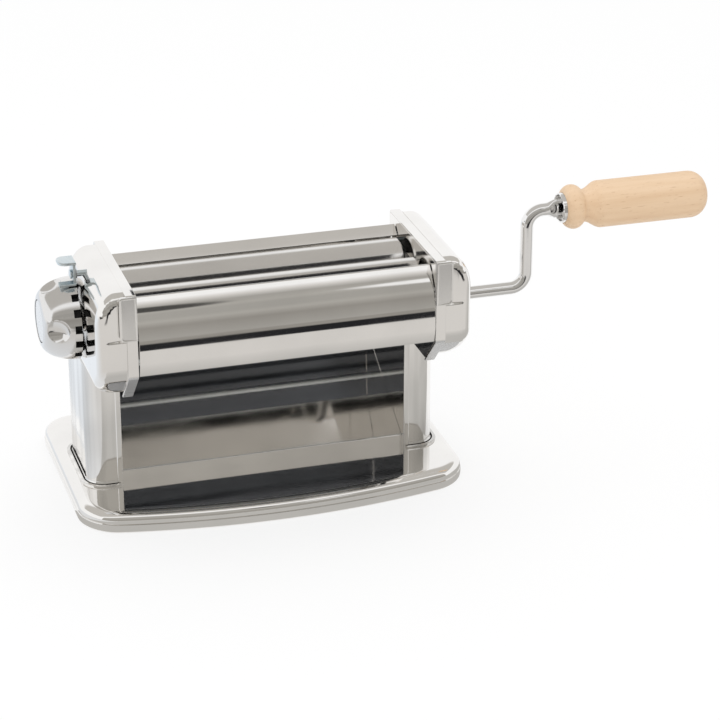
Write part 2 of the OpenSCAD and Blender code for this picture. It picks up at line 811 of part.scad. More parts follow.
hub_r = journal_r + cam_wall;
scoops = 4;
scoop_out = 2.5;
scoop_in = 4;
knob_profile = concat([[journal_r, knob_in + knob_gap], [hub_r, knob_in + knob_gap],
    [hub_r, knob_floor - knob_wall], [disc_r - 1, knob_floor - knob_wall],
    [knob_r - 3 * knob_wall, knob_in + knob_d / 2], [knob_r - knob_wall, knob_in]],
    [for (a = [0:6.5:78]) [disc_r + (knob_r - disc_r) * cos(a), knob_in + knob_d * sin(a)]],
    [[disc_r, knob_out], [disc_r, knob_out - disc_t], [journal_r, knob_out - disc_t]]);

module knob_shell() {
    color("gainsboro") translate([0, knob_y, knob_z]) rotate([0, -90, 0]) difference() {
        rotate_extrude() polygon(knob_profile);
        for (i = [0:settings - 1]) {
            rotate([0, 0, -pawl_deg - i * step_deg]) translate([0, knob_r, knob_in])
                cube([notch, 4 * knob_wall, 2 * notch], center = true);
        }
        for (i = [0:scoops - 1]) {
            rotate([0, 0, -scoop_deg - i * 360 / scoops])
                translate([0, knob_r + scoop_out, knob_out - scoop_in]) sphere(r = scoop_r);
        }
    }
}

module knob_disc() {
    color("white") on_left() {
        bar_x(knob_out - disc_t, knob_out, disc_r, knob_y, knob_z);
    }
}

// Pawl: pin in the cap, bent lever with nose and thumb tab, and its spring
pin_lip = 0.8;
spring_t = 0.8;
spring_l = 8;
module pawl_pin() {
    color("gray") on_left() {
        bar_x(cap_out - cap_round, pawl_in + pawl_t + pass_gap, screw_r, pin_y, pin_z);
        bar_x(pawl_in + pawl_t + pass_gap, pawl_in + pawl_t + over, screw_r + pin_lip, pin_y, pin_z);
    }
}

nose = [knob_y, knob_z] + nose_r * [cos(pawl_deg), sin(pawl_deg)];
nose_out = unit(nose - [knob_y, knob_z]);
nose_side = [-nose_out.y, nose_out.x] * (notch - 2 * pass_gap) / 2;
eye_wall = 1.8;
pawl_eye = screw_r + eye_wall;
thumb_z = pin_z + thumb_up;
pawl_pts = [nose - nose_side, nose + nose_side, [pin_y - pawl_eye, pin_z + 1], [pin_y - pawl_eye, thumb_z],
    [pin_y + pawl_eye, thumb_z], [pin_y + pawl_eye, pin_z - 1]];

thumb_round = 4;
thumb_pts = rounded([[0, -thumb_w / 2, 0], [thumb_l, -thumb_w / 2, thumb_round],
    [thumb_l, thumb_w / 2, thumb_round], [0, thumb_w / 2, 0]]);

module pawl() {
    color("lightsteelblue") on_left() difference() {
        union() {
            across(pawl_in, pawl_in + pawl_t, pawl_pts);
            across(pawl_in, pawl_in + nose_l, [nose - nose_side, nose + nose_side,
                nose + nose_side + nose_out * pawl_t, nose - nose_side + nose_out * pawl_t]);
            translate([pawl_in, pin_y, thumb_z - pawl_t]) linear_extrude(pawl_t) polygon(thumb_pts);
        }
        bar_x(pawl_in - over, pawl_in + pawl_t + over, screw_r + run_fit, pin_y, pin_z);
    }
}

module pawl_spring() {
    color("gray") on_left() difference() {
        union() {
            bar_x(pawl_in - spring_t, pawl_in, screw_r + spring_t, pin_y, pin_z);
            translate([pawl_in - spring_t, pin_y, pin_z + screw_r]) cube([spring_t, spring_l, spring_t]);
        }
        bar_x(pawl_in - 1, pawl_in + over, screw_r + run_fit, pin_y, pin_z);
    }
}

// Crank: square end, two bends, flattened ears and a spindle for the grip
square_end = shaft_out + 2;
rod_end = grip_x + 1;
ear_l = 3;
ear_h = 11;
ear_t = 2.5;

module bend(x, z, turn) {
    translate([x, input_y, z]) rotate([90, turn, 0]) rotate_extrude(angle = 90)
        translate([bend_r, 0]) circle(crank_r);
}

module crank_bar() {
    color("gainsboro") {
        square_x(socket_in + pass_gap, square_end, square_a, input_y, input_z);
        bar_x(square_end, arm_x - bend_r, crank_r, input_y, input_z);
        bend(arm_x - bend_r, input_z + bend_r, 90);
        translate([arm_x, input_y, input_z + bend_r]) cylinder(h = arm_l - 2 * bend_r, r = crank_r);
        bend(arm_x + bend_r, handle_z - bend_r, -90);
        bar_x(arm_x + bend_r, rod_end, crank_r, input_y, handle_z);
        translate([grip_x - 2 * ear_l, input_y - ear_t / 2, handle_z - ear_h / 2])
            cube([ear_l, ear_t, ear_h]);
        bar_x(rod_end, grip_end - rivet_t, spindle_r, input_y, handle_z);
    }
}

rivet_t = 1.5;
rivet_r = spindle_r + 1.5;
module crank_rivet() {
    color("silver") bar_x(grip_end - rivet_t, grip_end, rivet_r, input_y, handle_z);
}

// Ferrule: a steel cup let into the end of the grip
cup_l = 4;
cup_t = 1;
module grip_ferrule() {
    color("silver") difference() {
        bar_x(grip_x - cup_t / 2, grip_x + cup_l, ferrule_r, input_y, handle_z);
        bar_x(grip_x - cup_t, grip_x + cup_l - cup_t, ferrule_r - cup_t, input_y, handle_z);
        bar_x(grip_x, grip_end, spindle_r + run_fit, input_y, handle_z);
    }
}

// Grip: turned wood with a bead, a neck and a long body
bead_r = 5.5;
bead_x = 6;
bead_set = 0.7;
bead_edge = 0.8;
cove_x0 = 12;
cove_x1 = 21;
grip_round = 9;
rivet_bore = rivet_r + pass_gap;
rivet_seat = grip_l - rivet_t - pass_gap;
grip_profile = concat([[spindle_r + run_fit, cup_l], [ferrule_r, cup_l], [ferrule_r, bead_edge]],
    arc([grip_r - bead_set - bead_r, bead_x], bead_r, -55, 58, 10),
    [for (i = [0:1 / 8:1])
        [neck_r + (grip_r - neck_r) * (1 - cos(180 * i)) / 2, cove_x0 + (cove_x1 - cove_x0) * i]],
    arc([grip_r - grip_round, grip_l - grip_round], grip_round, 0, 75, 10),
    [[rivet_bore, grip_l], [rivet_bore, rivet_seat], [spindle_r + run_fit, rivet_seat]]);

module grip() {
    color("burlywood") translate([grip_x, input_y, handle_z]) rotate([0, 90, 0]) rotate_extrude()
        polygon(grip_profile);
}

base();
left_pillar();
right_pillar();
pillar_screws();
pillar_nuts();
left_plate();
right_plate();
left_rail();
right_rail();
left_cap();
right_cap();
cap_screws();
front_cover();
rear_cover();
tie_rods();
tie_nuts();
chute();
front_bushes();
input_bush();
front_scraper();
front_roller();
drive_gear();
reduction_gear();
input_pinion();
input_clip();
drive_socket();
left_block();
right_block();
carriage_bar();
rear_scraper();
rear_roller();
rear_gear();
knob_bush();
knob_shaft();
knob_shell();
knob_disc();
pawl_pin();
pawl();
pawl_spring();
crank_bar();
crank_rivet();
grip_ferrule();
grip();
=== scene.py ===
"""Hand-cranked pasta machine: polished sheet, steel rollers, a chromed knob and crank, and a beech grip."""
from math import asin, atan2, cos, degrees, hypot, pi, radians, sin, sqrt, tan

import bmesh
import bpy
from mathutils import Matrix, Vector


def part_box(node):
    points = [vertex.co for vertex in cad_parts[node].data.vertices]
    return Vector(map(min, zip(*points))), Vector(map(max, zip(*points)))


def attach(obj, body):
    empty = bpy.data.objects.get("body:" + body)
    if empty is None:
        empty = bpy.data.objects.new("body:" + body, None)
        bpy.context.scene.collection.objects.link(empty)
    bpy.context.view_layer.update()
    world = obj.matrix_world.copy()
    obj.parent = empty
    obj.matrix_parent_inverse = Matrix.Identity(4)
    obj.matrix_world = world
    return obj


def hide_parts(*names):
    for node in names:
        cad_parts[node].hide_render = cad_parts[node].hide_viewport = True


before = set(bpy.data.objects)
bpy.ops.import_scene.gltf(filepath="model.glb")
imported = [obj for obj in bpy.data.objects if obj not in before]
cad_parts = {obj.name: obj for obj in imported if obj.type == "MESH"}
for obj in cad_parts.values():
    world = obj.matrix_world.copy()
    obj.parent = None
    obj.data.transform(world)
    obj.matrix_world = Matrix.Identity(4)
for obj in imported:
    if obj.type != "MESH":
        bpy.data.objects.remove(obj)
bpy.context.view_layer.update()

# Pieces are modelled in millimetres and scaled to metres when they are finished
MM = 0.001
# Points closer than this become one
MERGE = 0.001
# Points and edges are found by their place to within this
CLOSE = 0.01
# Edges that turn by more than this are shaded sharp
SHARP = radians(32)


def node_box(node):
    """Lowest and highest corner of a CAD node, in millimetres."""
    low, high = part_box(node)
    return low / MM, high / MM


def middle(node):
    low, high = node_box(node)
    return (low + high) / 2


def shade(red, green, blue):
    """A colour given as it looks on a screen, 0 to 255, as a linear colour."""
    def linear(value):
        value /= 255
        return value / 12.92 if value <= 0.04045 else ((value + 0.055) / 1.055) ** 2.4
    return (linear(red), linear(green), linear(blue), 1)


def darker(tone, share):
    return tuple(share * part for part in tone[:3]) + (1,)


# Finishes


class Value:
    """A socket of a finish. Sums on it add Math nodes."""

    def __init__(self, finish, socket):
        self.finish = finish
        self.socket = socket

    def sum(self, operation, first, second):
        return self.finish.node("ShaderNodeMath", {"operation": operation}, {0: first, 1: second})

    def __add__(self, other):
        return self.sum("ADD", self, other)

    def __radd__(self, other):
        return self.sum("ADD", other, self)

    def __sub__(self, other):
        return self.sum("SUBTRACT", self, other)

    def __rsub__(self, other):
        return self.sum("SUBTRACT", other, self)

    def __mul__(self, other):
        return self.sum("MULTIPLY", self, other)

    def __rmul__(self, other):
        return self.sum("MULTIPLY", other, self)


class Finish:
    """The nodes of a material or a world, on a piece's own Object coordinates."""

    def __init__(self, owner, out="ShaderNodeOutputMaterial"):
        owner.use_nodes = True
        self.owner = owner
        self.tree = owner.node_tree
        self.tree.nodes.clear()
        self.out = self.tree.nodes.new(out)

    def node(self, kind, settings=None, links=None, output=0):
        made = self.tree.nodes.new(kind)
        for key, value in (settings or {}).items():
            if key == "stops":
                ramp = made.color_ramp
                while len(ramp.elements) < len(value):
                    ramp.elements.new(1)
                for element, (place, colour) in zip(ramp.elements, value):
                    element.position = place
                    element.color = colour
            else:
                setattr(made, key, value)
        for key, value in (links or {}).items():
            if isinstance(value, Value):
                self.tree.links.new(value.socket, made.inputs[key])
            else:
                made.inputs[key].default_value = value
        return Value(self, made.outputs[output])

    def noise(self, scale, detail, stretch=(1, 1, 1)):
        """Noise on Object coordinates, which can be stretched along the axes."""
        where = self.node("ShaderNodeTexCoord", output="Object")
        place = self.node("ShaderNodeMapping", None, {"Vector": where, "Scale": stretch})
        return self.node("ShaderNodeTexNoise", None, {"Vector": place, "Scale": scale, "Detail": detail})

    def steps(self, value, *stops):
        """A colour ramp; each stop is a place and a colour or a grey."""
        shades = [(at, tone if isinstance(tone, tuple) else (tone, tone, tone, 1)) for at, tone in stops]
        return self.node("ShaderNodeValToRGB", {"stops": shades}, {"Fac": value})

    def between(self, value, low, high):
        """0 up to low, 1 from high on."""
        return self.steps(value, (low, 0.0), (high, 1.0))

    def mix(self, factor, first, second):
        return self.node("ShaderNodeMix", {"data_type": "RGBA"}, {0: factor, 6: first, 7: second}, 2)

    def bump(self, height, strength, depth):
        links = {"Height": height, "Strength": strength, "Distance": depth * MM}
        return self.node("ShaderNodeBump", None, links)

    def glow(self, colour):
        return self.node("ShaderNodeEmission", None, {"Color": colour, "Strength": 1.0})

    def ending(self, shader):
        """Links the shader to the output and gives the material or world."""
        self.tree.links.new(shader.socket, self.out.inputs["Surface"])
        return self.owner

    def surface(self, **inputs):
        links = {key.replace("_", " "): value for key, value in inputs.items()}
        return self.ending(self.node("ShaderNodeBsdfPrincipled", None, links))


def new_finish(name):
    return Finish(bpy.data.materials.new(name))


def polished_sheet(name, tone, gloss, waves, metal=1.0):
    """Polished pressed sheet: faint waves, wiping marks and handling smears."""
    finish = new_finish(name)
    wave = finish.noise(28, 1)
    wiped = finish.noise(60, 4, (0.25, 1, 1))
    smear = finish.noise(34, 3)
    return finish.surface(
        Base_Color=finish.mix(finish.between(smear, 0.35, 0.7), tone, darker(tone, 0.94)),
        Metallic=metal,
        Roughness=gloss + 0.07 * finish.between(wiped, 0.42, 0.75),
        Normal=finish.bump(wave, waves, 1.0),
    )


def bent_sheet(name, tone, dark, gloss):
    """Polished sheet whose gloss and ripple vary in soft upright streaks from drawing and bending; darker
    streaks and clouds in its colour are painted reflection.
    """
    finish = new_finish(name)
    streak = finish.noise(1, 2, (130, 130, 7))
    cloud = finish.noise(1, 2, (16, 16, 22))
    # Darker streaks and clouds in the colour: a painted reflection of the surroundings
    painted_reflection = finish.between(streak * 0.6 + cloud * 0.4, 0.42, 0.62)
    return finish.surface(
        Base_Color=finish.mix(painted_reflection, tone, dark),
        Metallic=1.0,
        Roughness=gloss + 0.08 * finish.between(streak, 0.4, 0.7),
        Normal=finish.bump(streak, 0.05, 1.0),
    )


def turned_steel(name, tone, gloss):
    """Ground steel with fine rings round its axis across the machine."""
    finish = new_finish(name)
    rings = finish.noise(1, 3, (2600, 12, 12))
    stain = finish.noise(45, 3, (0.3, 1, 1))
    return finish.surface(
        Base_Color=finish.mix(finish.between(stain, 0.3, 0.75), tone, darker(tone, 0.86)),
        Metallic=1.0,
        Roughness=gloss + 0.1 * rings,
        Normal=finish.bump(rings, 0.05, 0.05),
    )


def plated_steel(name, light, dark, gloss):
    """Plated or cast metal with a fine mottle."""
    finish = new_finish(name)
    mottle = finish.noise(420, 4)
    cloud = finish.noise(70, 2)
    return finish.surface(
        Base_Color=finish.mix(finish.between(mottle * 0.6 + cloud * 0.4, 0.35, 0.65), dark, light),
        Metallic=1.0,
        Roughness=gloss + 0.15 * mottle,
        Normal=finish.bump(mottle, 0.15, 0.1),
    )


def beech(name):
    """Pale turned beech: long soft grain and short dark flecks along the grip."""
    finish = new_finish(name)
    grain = finish.noise(1, 5, (9, 150, 150))
    fibres = finish.noise(1, 3, (45, 1400, 1400))
    fleck = finish.between(finish.noise(1, 2, (190, 1500, 1500)), 0.64, 0.72)
    body = finish.steps(
        grain, (0.3, shade(217, 184, 148)), (0.5, shade(226, 196, 161)), (0.72, shade(233, 206, 175))
    )
    fibrous = finish.mix(fibres * 0.25, body, shade(210, 170, 134))
    return finish.surface(
        Base_Color=finish.mix(fleck * 0.5, fibrous, shade(178, 134, 98)),
        Roughness=0.42 + 0.2 * fibres,
        Normal=finish.bump(fibres - fleck * 0.6, 0.2, 0.08),
    )


def shadow_black(name):
    """Painted shade: near-black inside the notches, behind the knob and in the pillars' foot grooves, where
    shade falls, with a faint mottle.
    """
    finish = new_finish(name)
    dust = finish.noise(500, 3)
    colour = finish.mix(dust, shade(14, 13, 13), shade(30, 29, 28))
    return finish.surface(Base_Color=colour, Roughness=0.55 + 0.2 * dust)


SHEET = polished_sheet("polished_sheet", (0.90, 0.885, 0.865, 1), 0.045, 0.035)
PILLAR = bent_sheet("bent_sheet", (0.90, 0.885, 0.865, 1), (0.60, 0.59, 0.575, 1), 0.06)
SATIN = polished_sheet("satin_chrome", (0.90, 0.89, 0.875, 1), 0.24, 0.02)
KNOB = polished_sheet("knob_chrome", (0.80, 0.79, 0.78, 1), 0.11, 0.02)
BRIGHT = polished_sheet("chromed_bar", (0.91, 0.905, 0.90, 1), 0.05, 0.01)
# Duller sheet painted dark: a painted shade for the inside of the chute's back
DULL_SHADED_INSIDE = polished_sheet("dull_shaded_inside", (0.15, 0.16, 0.18, 1), 0.2, 0.02)
FOLD = polished_sheet("dull_fold", (0.62, 0.62, 0.62, 1), 0.25, 0.02, 0.6)
ROLLER = turned_steel("ground_roller", (0.80, 0.785, 0.765, 1), 0.12)
ZINC = plated_steel("zinc_plate", (0.74, 0.80, 0.82, 1), (0.58, 0.66, 0.70, 1), 0.22)
ROD = plated_steel("bright_rod", (0.92, 0.96, 0.97, 1), (0.80, 0.85, 0.87, 1), 0.42)
GEAR = plated_steel("gear_steel", (0.46, 0.46, 0.46, 1), (0.34, 0.34, 0.35, 1), 0.32)
CAST = plated_steel("cast_block", (0.60, 0.60, 0.61, 1), (0.46, 0.46, 0.48, 1), 0.4)
SPRING = plated_steel("spring_steel", (0.50, 0.51, 0.53, 1), (0.36, 0.37, 0.39, 1), 0.25)
BRONZE = plated_steel("bush_bronze", (0.72, 0.52, 0.28, 1), (0.55, 0.38, 0.19, 1), 0.3)
DISC = plated_steel("disc_metal", (0.90, 0.89, 0.88, 1), (0.84, 0.83, 0.82, 1), 0.2)
WOOD = beech("beech")
BLACK = shadow_black("shadow_black")


# Shaping in bmesh


def new_verts(geometry):
    return [part for part in geometry if isinstance(part, bmesh.types.BMVert)]


def new_edges(geometry):
    return [part for part in geometry if isinstance(part, bmesh.types.BMEdge)]


def height(face):
    return face.calc_center_median().z


def prism(bm, points, axis, start, end):
    """An outline across one axis, drawn out along it."""
    index = "xyz".index(axis)
    verts = []
    for point in points:
        spot = list(point)
        spot.insert(index, start)
        verts.append(bm.verts.new(spot))
    raised = bmesh.ops.extrude_face_region(bm, geom=[bm.faces.new(verts)])["geom"]
    way = Vector()
    way[index] = end - start
    bmesh.ops.translate(bm, verts=new_verts(raised), vec=way)
    bmesh.ops.recalc_face_normals(bm, faces=bm.faces[:])


def round_edges(bm, width, segments, wanted):
    """Rounds the edges whose two ends satisfy wanted(first, second)."""
    edges = [edge for edge in bm.edges if wanted(edge.verts[0].co, edge.verts[1].co)]
    bmesh.ops.bevel(
        bm, geom=edges, offset=width, segments=segments, profile=0.5, affect="EDGES", material=-1,
        clamp_overlap=True,
    )


def step_in(bm, face, steps):
    """Sets a face in and raises it, once for each inset and rise."""
    for inset, rise in steps:
        bmesh.ops.inset_region(bm, faces=[face], thickness=inset, depth=rise, use_even_offset=True)


def cut(bm, point, normal, clear):
    """Cuts along a plane. With clear, what lies beyond it goes and the cut is closed."""
    geometry, on_plane = bm.verts[:] + bm.edges[:] + bm.faces[:], 1e-4
    made = bmesh.ops.bisect_plane(
        bm, geom=geometry, dist=on_plane, plane_co=point, plane_no=normal, clear_outer=clear
    )
    if clear:
        bmesh.ops.holes_fill(bm, edges=new_edges(made["geom_cut"]))


def add(bm, other):
    """Adds another mesh to this one."""
    held = bpy.data.meshes.new("held")
    other.to_mesh(held)
    other.free()
    bm.from_mesh(held)
    bpy.data.meshes.remove(held)


def turned(bm, profile, y, z, steps):
    """A profile of places along X and radii, turned about an axis across the machine."""
    verts = [bm.verts.new((x, y, z + radius)) for x, radius in profile]
    edges = [bm.edges.new(pair) for pair in zip(verts, verts[1:])]
    bmesh.ops.spin(
        bm, geom=verts + edges, cent=(0, y, z), axis=(1, 0, 0), angle=2 * pi, steps=steps, use_merge=True
    )
    bmesh.ops.remove_doubles(bm, verts=bm.verts[:], dist=MERGE)


def arc(centre, radii, first, last, count):
    """Points on a round or oval stretch, by angles in degrees."""
    turn = [radians(first + (last - first) * index / count) for index in range(count + 1)]
    return [(centre[0] + radii[0] * cos(angle), centre[1] + radii[1] * sin(angle)) for angle in turn]


def arange(first, last, step):
    return [first + step * index for index in range(int((last - first) / step) + 1)]


def ease(value):
    """0 below -0.5, 1 above 0.5, with a soft step between."""
    value = min(max(value + 0.5, 0), 1)
    return value * value * (3 - 2 * value)


def to_left(bm):
    bmesh.ops.scale(bm, vec=(-1, 1, 1), verts=bm.verts[:])


def piece(name, bm, body, nodes, slot, *finishes, flat_faces=True):
    """Closes a mesh, scales it to metres, gives it its finishes and sets it in the frame."""
    bmesh.ops.remove_doubles(bm, verts=bm.verts[:], dist=MERGE)
    bmesh.ops.recalc_face_normals(bm, faces=bm.faces[:])
    bmesh.ops.scale(bm, vec=(MM, MM, MM), verts=bm.verts[:])
    mesh = bpy.data.meshes.new(name)
    bm.to_mesh(mesh)
    bm.free()
    mesh.shade_smooth()
    mesh.set_sharp_from_angle(angle=SHARP)
    for finish in finishes:
        mesh.materials.append(finish)
    made = bpy.data.objects.new(name, mesh)
    bpy.context.scene.collection.objects.link(made)
    if flat_faces:
        weigh = made.modifiers.new("flat_faces", "WEIGHTED_NORMAL")
        weigh.keep_sharp = True
    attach(made, body)
    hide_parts(*nodes)


# Places taken from the frame

inner_x = node_box("chute")[1].x
rail_low, rail_high = node_box("right_rail")
cap_low, cap_high = node_box("right_cap")
base_low, base_high = node_box("base")
pillar_low, pillar_high = node_box("right_pillar")
plate_out = node_box("right_plate")[1].x
front_axis = middle("front_roller")
rear_axis = middle("rear_roller")
nip_y = (front_axis.y + rear_axis.y) / 2
front_y, rear_y = cap_low.y, cap_high.y
knob_axis = middle("knob_disc")
crank_axis = middle("drive_socket")
grip_axis = middle("grip")
head_low = cap_low.z
# The head's lower front is cut off at 45 degrees, this far up and back
hook_cut = 16
# The pawl's nose stands over the knob's rim at this angle from the rear
pawl_deg = 108
# Pillars, rails and caps are shaped for the right, and mirrored for the left
SIDES = ("left", "right")


# Base plate


def base_plate():
    corner, bow, cuts = 18, 400, 31
    half, back = base_high.x, base_high.y
    drop = bow - sqrt(bow * bow - half * half)
    front = base_low.y + drop
    skirt_low, skirt_high, hem, sheet = 2.2, 4.6, 1.6, 1.6
    bm = bmesh.new()
    prism(bm, [(-half, front), (half, front), (half, back), (-half, back)], "z", skirt_low, skirt_high)
    round_edges(bm, corner, 12, lambda a, b: abs(a.z - b.z) > 1)
    fronts = [
        edge for edge in bm.edges
        if abs(edge.verts[0].co.x - edge.verts[1].co.x) > half and edge.verts[0].co.y < 0
    ]
    bmesh.ops.subdivide_edges(bm, edges=fronts, cuts=cuts, use_grid_fill=False)
    for vert in bm.verts:
        if vert.co.y < 0:
            vert.co.y -= sqrt(bow * bow - vert.co.x ** 2) - (bow - drop)
    bm.faces.ensure_lookup_table()
    top = max(bm.faces, key=height)
    groove = [(0.2, 0.4), (0.35, 0.2), (-0.25, 0.3)]
    bead = [
        (0.02, 0.6), (0.05, 0.8), (0.2, 0.9), (0.45, 0.9), (0.7, 0.8), (0.9, 0.65), (1.1, 0.45), (1.2, 0.25),
        (1.3, 0.12),
    ]
    step_in(bm, top, groove + bead)
    step_in(bm, top, [(0.8, base_high.z - height(top)), (2.0, 0.0)])
    # Turned-in hem and the hollow underneath
    floor = min(bm.faces, key=height)
    step_in(bm, floor, [(0.15, 0.9), (0.35, 0.7), (0.7, skirt_low - hem), (2.8, 0.0), (0.4, -0.4)])
    step_in(bm, floor, [(0.3, -(base_high.z - sheet))])
    return bm


def clamp_hole(bm):
    """Opens the hole for the table clamp through the flat top, with its collar."""
    radius, wall, collar, hole_y = 5, 1.2, 5, 48
    lower, upper = sorted(sorted(bm.faces, key=lambda face: face.calc_area())[-2:], key=height)
    lower_rim, upper_rim = list(lower.edges), list(upper.edges)
    lower_z, upper_z = height(lower), height(upper)
    bmesh.ops.delete(bm, geom=[upper, lower], context="FACES_ONLY")
    spot = Matrix.Translation((0, hole_y, upper_z))
    circle = bmesh.ops.create_circle(bm, segments=48, radius=radius, matrix=spot)
    ring = list({edge for vert in circle["verts"] for edge in vert.link_edges})
    bmesh.ops.triangle_fill(bm, edges=upper_rim + ring, use_beauty=True)
    collar_z, outside = upper_z - collar, radius + wall
    for reach, level in ((radius, collar_z), (outside, collar_z), (outside, lower_z)):
        made = bmesh.ops.extrude_edge_only(bm, edges=ring)["geom"]
        ring = new_edges(made)
        verts = new_verts(made)
        now = verts[0].co
        size = reach / hypot(now.x, now.y - hole_y)
        bmesh.ops.translate(bm, verts=verts, vec=(0, 0, level - now.z))
        bmesh.ops.scale(bm, verts=verts, vec=(size, size, 1), space=Matrix.Translation((0, -hole_y, 0)))
    bmesh.ops.triangle_fill(bm, edges=lower_rim + ring, use_beauty=True)
    return bm


piece("base_plate", clamp_hole(base_plate()), "frame", ["base"], "polished_sheet", SHEET)


# Pillars


def pillar(left):
    foot, flange, corner, slope_drop, edge_round, hair = 3, 0.7, 10, 16, 0.8, 0.001
    inner, out = plate_out, pillar_high.x - foot
    front, back = pillar_low.y + foot, pillar_high.y - foot
    low, top = pillar_low.z, pillar_high.z
    # The foot starts further in than the pillar, and is cut off with it
    start = inner - 4 * foot
    bm = bmesh.new()
    outline = [
        (start, front - foot), (out + foot, front - foot), (out + foot, back + foot), (start, back + foot)
    ]
    prism(bm, outline, "z", low, low + flange)
    round_edges(bm, corner + foot, 10, lambda a, b: abs(a.z - b.z) > flange / 2 and a.x > inner)
    face = max(bm.faces, key=height)
    step_in(bm, face, [(0.15, 0.35), (0.35, 0.15), (1.2, 0.0)])
    plain = set(bm.faces)
    step_in(bm, face, [(0.1, -0.4), (0.5, 0.0), (0.1, 0.6)])
    # The groove round the foot takes the near-black painted shade, for the shade in the gap there
    for groove in set(bm.faces) - plain:
        groove.material_index = 1
    step_in(bm, face, [(0.3, 0.4), (0.3, 0.9)])
    step_in(bm, face, [(hair, top - height(face))])
    cut(bm, (0, rear_y, top), (0, slope_drop / (back - rear_y), 1), True)
    cut(bm, (inner, 0, 0), (-1, 0, 0), True)

    def on_top(a, b):
        """Edges of the sloping top, without those on the inner side and at the front."""
        high_up = min(a.z, b.z) > top - slope_drop - 3
        outward = min(a.x, b.x) > inner - CLOSE and max(a.x, b.x) > inner + 0.1
        return high_up and outward and max(a.y, b.y) > front + 2

    round_edges(bm, edge_round, 3, on_top)
    # Folded edge of the side plate in front of the pillar
    fold, stand, fold_round = 3.0, 0.9, 0.6
    strip = bmesh.new()
    outline = [
        (inner_x, front - stand), (inner_x + fold, front - stand), (inner_x + fold, front + stand),
        (inner_x, front + stand),
    ]
    prism(strip, outline, "z", low, top)
    round_edges(strip, fold_round, 4, lambda a, b: abs(a.z - b.z) > fold)
    add(bm, strip)
    if left:
        to_left(bm)
    return bm


for side in SIDES:
    shape = pillar(side == "left")
    piece(side + "_pillar_sheet", shape, "frame", [side + "_pillar"], "polished_sheet", PILLAR, BLACK)


# Rails, each with a tab that laps over the front of its cap


def rail_tab(thick, inner):
    """Thin plate with a raised border."""
    proud, seat, length, top_drop = 0.5, 0.2, 24, 0.4
    out = -node_box("left_rail")[0].x
    low, top = rail_high.z - length, rail_high.z - top_drop
    outline = [(inner, top), (inner, low), (out, low), (out, top)]
    tab = bmesh.new()
    prism(tab, outline, "y", front_y + seat, front_y - thick - proud)
    for corner, level in ((2.6, low), (1.6, top)):

        def at_corner(a, b):
            return abs(a.y - b.y) > seat and a.x > out - 0.1 and abs(a.z - level) < 1

        round_edges(tab, corner, 6, at_corner)
    face = min(tab.faces, key=lambda side: side.calc_center_median().y)
    step_in(tab, face, [(0.2, 0.12), (0.35, 0.1), (0.35, -0.15), (0.3, -0.12)])
    for face in tab.faces:
        face.material_index = 1
    return tab


def rail(left):
    thick, gap, rear_rise, lip = rail_high.y - rear_y, 0.15, 11, 2
    bend, edge_round, steep = 1.6, 0.3, 0.3
    outside, behind, top = front_y - thick, rear_y + thick, rail_high.z
    slant_z = head_low + hook_cut
    over, slip = lip / sqrt(2), thick / sqrt(2)
    hook = (front_y + hook_cut, head_low)
    tip = (hook[0] + over, hook[1] - over)
    corners = [(behind, top), (outside, top), (outside, slant_z - thick / 2)]
    points = [(rear_y, head_low + rear_rise), (behind, head_low + rear_rise)] + corners
    points += [(tip[0] - slip, tip[1] - slip), tip, hook, (front_y, slant_z), (front_y, top - thick)]
    points.append((rear_y, top - thick))
    bm = bmesh.new()
    inner = rail_low.x + gap
    prism(bm, points, "x", inner, rail_high.x)

    def at_corner(a, b):
        return abs(a.x - b.x) > 1 and any(hypot(a.y - y, a.z - z) < CLOSE for y, z in corners)

    round_edges(bm, bend, 5, at_corner)
    round_edges(bm, edge_round, 3, lambda a, b: abs(a.x - b.x) < MERGE)
    bm.normal_update()
    for face in bm.faces:
        if max(face.normal.y, face.normal.z) < -steep:
            face.material_index = 2
    add(bm, rail_tab(thick, inner))
    if left:
        to_left(bm)
    return bm


for side in SIDES:
    shape = rail(side == "left")
    piece(side + "_rail_strip", shape, "frame", [side + "_rail"], "polished_sheet", SHEET, SATIN, FOLD)


# Caps


